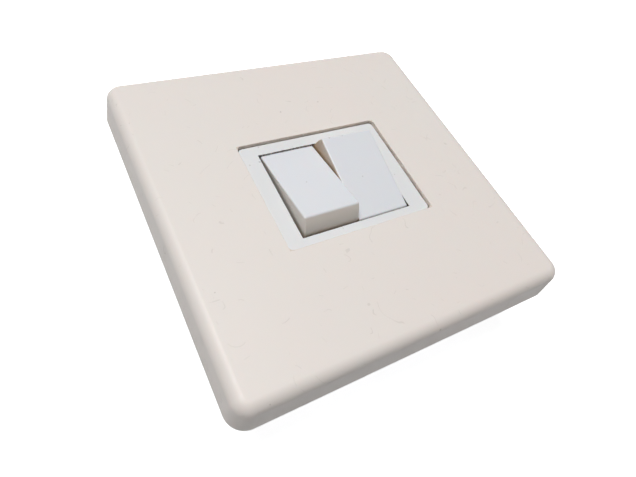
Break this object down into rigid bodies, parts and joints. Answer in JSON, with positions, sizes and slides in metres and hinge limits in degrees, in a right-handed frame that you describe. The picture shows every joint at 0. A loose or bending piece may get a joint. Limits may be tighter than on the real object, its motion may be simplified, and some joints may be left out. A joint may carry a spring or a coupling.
{
  "type": "rocker wall switch",
  "caption": "Flush wall light switch: square clip-on cover plate, recessed bezel and side-by-side rockers over a strap-mounted two-way contact module.",
  "frame": {"origin": "middle of the rear face of the switch module's base, under the middle of the cover plate", "axes": "+Z out of the wall through the front of the plate, +X across the two rockers towards the right one, +Y along the rockers, away from the near side"},
  "size_m": [0.086, 0.086, 0.0333],
  "materials": {
    "ivory_plastic": "satin moulded ivory plastic with a faint pink cast, a few dust specks and hairline scratches",
    "white_plastic": "satin cool white moulded plastic",
    "rocker_plastic": "smooth cool white moulded plastic, slightly glossier than the bezel",
    "case_plastic": "light grey moulded insulating plastic",
    "plunger_plastic": "natural nylon",
    "zinc_steel": "zinc-plated pressed steel",
    "screw_steel": "passivated steel",
    "spring_steel": "drawn steel",
    "brass": "stamped brass, slightly dulled",
    "contact_silver": "polished silver alloy"
  },
  "bodies": {
    "switch_body": {"cover_plate": "ivory_plastic", "mounting_strap": "zinc_steel", "fixing_screw_left": "screw_steel", "fixing_screw_right": "screw_steel", "bezel_frame": "white_plastic", "pivot_pin": "spring_steel", "module_rivet_left_near": "screw_steel", "module_rivet_left_far": "screw_steel", "module_rivet_right_near": "screw_steel", "module_rivet_right_far": "screw_steel", "fixed_contact_left_near": "contact_silver", "fixed_contact_left_far": "contact_silver", "fixed_contact_right_near": "contact_silver", "fixed_contact_right_far": "contact_silver", "common_terminal_left": "brass", "common_terminal_right": "brass", "fixed_terminal_left_near": "brass", "fixed_terminal_left_far": "brass", "fixed_terminal_right_near": "brass", "fixed_terminal_right_far": "brass", "terminal_screw_left_near": "screw_steel", "terminal_screw_left_common": "screw_steel", "terminal_screw_left_far": "screw_steel", "terminal_screw_right_near": "screw_steel", "terminal_screw_right_common": "screw_steel", "terminal_screw_right_far": "screw_steel", "contact_housing": "case_plastic", "rear_base": "case_plastic"},
    "left_rocker": {"rocker_left": "rocker_plastic", "plunger_spring_left": "spring_steel"},
    "right_rocker": {"rocker_right": "rocker_plastic", "plunger_spring_right": "spring_steel"},
    "left_plunger": {"plunger_left": "plunger_plastic"},
    "right_plunger": {"plunger_right": "plunger_plastic"},
    "left_seesaw": {"seesaw_left": "brass", "moving_contact_left_near": "contact_silver", "moving_contact_left_far": "contact_silver"},
    "right_seesaw": {"seesaw_right": "brass", "moving_contact_right_near": "contact_silver", "moving_contact_right_far": "contact_silver"}
  },
  "joints": [
    {"name": "rocker_left_tilt", "type": "hinge", "parent": "switch_body", "child": "left_rocker", "pos_m": [-0.00722, 0, 0.02593], "axis": [1, 0, 0], "range_deg": [0, 22.5]},
    {"name": "rocker_right_tilt", "type": "hinge", "parent": "switch_body", "child": "right_rocker", "pos_m": [0.00722, 0, 0.02593], "axis": [1, 0, 0], "range_deg": [-22.5, 0]},
    {"name": "plunger_left_slide", "type": "slide", "parent": "left_rocker", "child": "left_plunger", "axis": [0, 0.1951, 0.9808], "range_m": [0, 0.0008], "stiffness_N_per_m": 300, "springref_m": -0.002, "deforming": ["plunger_spring_left"]},
    {"name": "plunger_right_slide", "type": "slide", "parent": "right_rocker", "child": "right_plunger", "axis": [0, -0.1951, 0.9808], "range_m": [0, 0.0008], "stiffness_N_per_m": 300, "springref_m": -0.002, "deforming": ["plunger_spring_right"]},
    {"name": "seesaw_left_tilt", "type": "hinge", "parent": "switch_body", "child": "left_seesaw", "pos_m": [-0.00722, 0, 0.01423], "axis": [1, 0, 0], "range_deg": [-20, 0]},
    {"name": "seesaw_right_tilt", "type": "hinge", "parent": "switch_body", "child": "right_seesaw", "pos_m": [0.00722, 0, 0.01423], "axis": [1, 0, 0], "range_deg": [0, 20]}
  ],
  "couplings": [
    {"joint": "seesaw_left_tilt", "follows": "rocker_left_tilt", "ratio": -0.88889},
    {"joint": "seesaw_right_tilt", "follows": "rocker_right_tilt", "ratio": -0.88889}
  ]
}
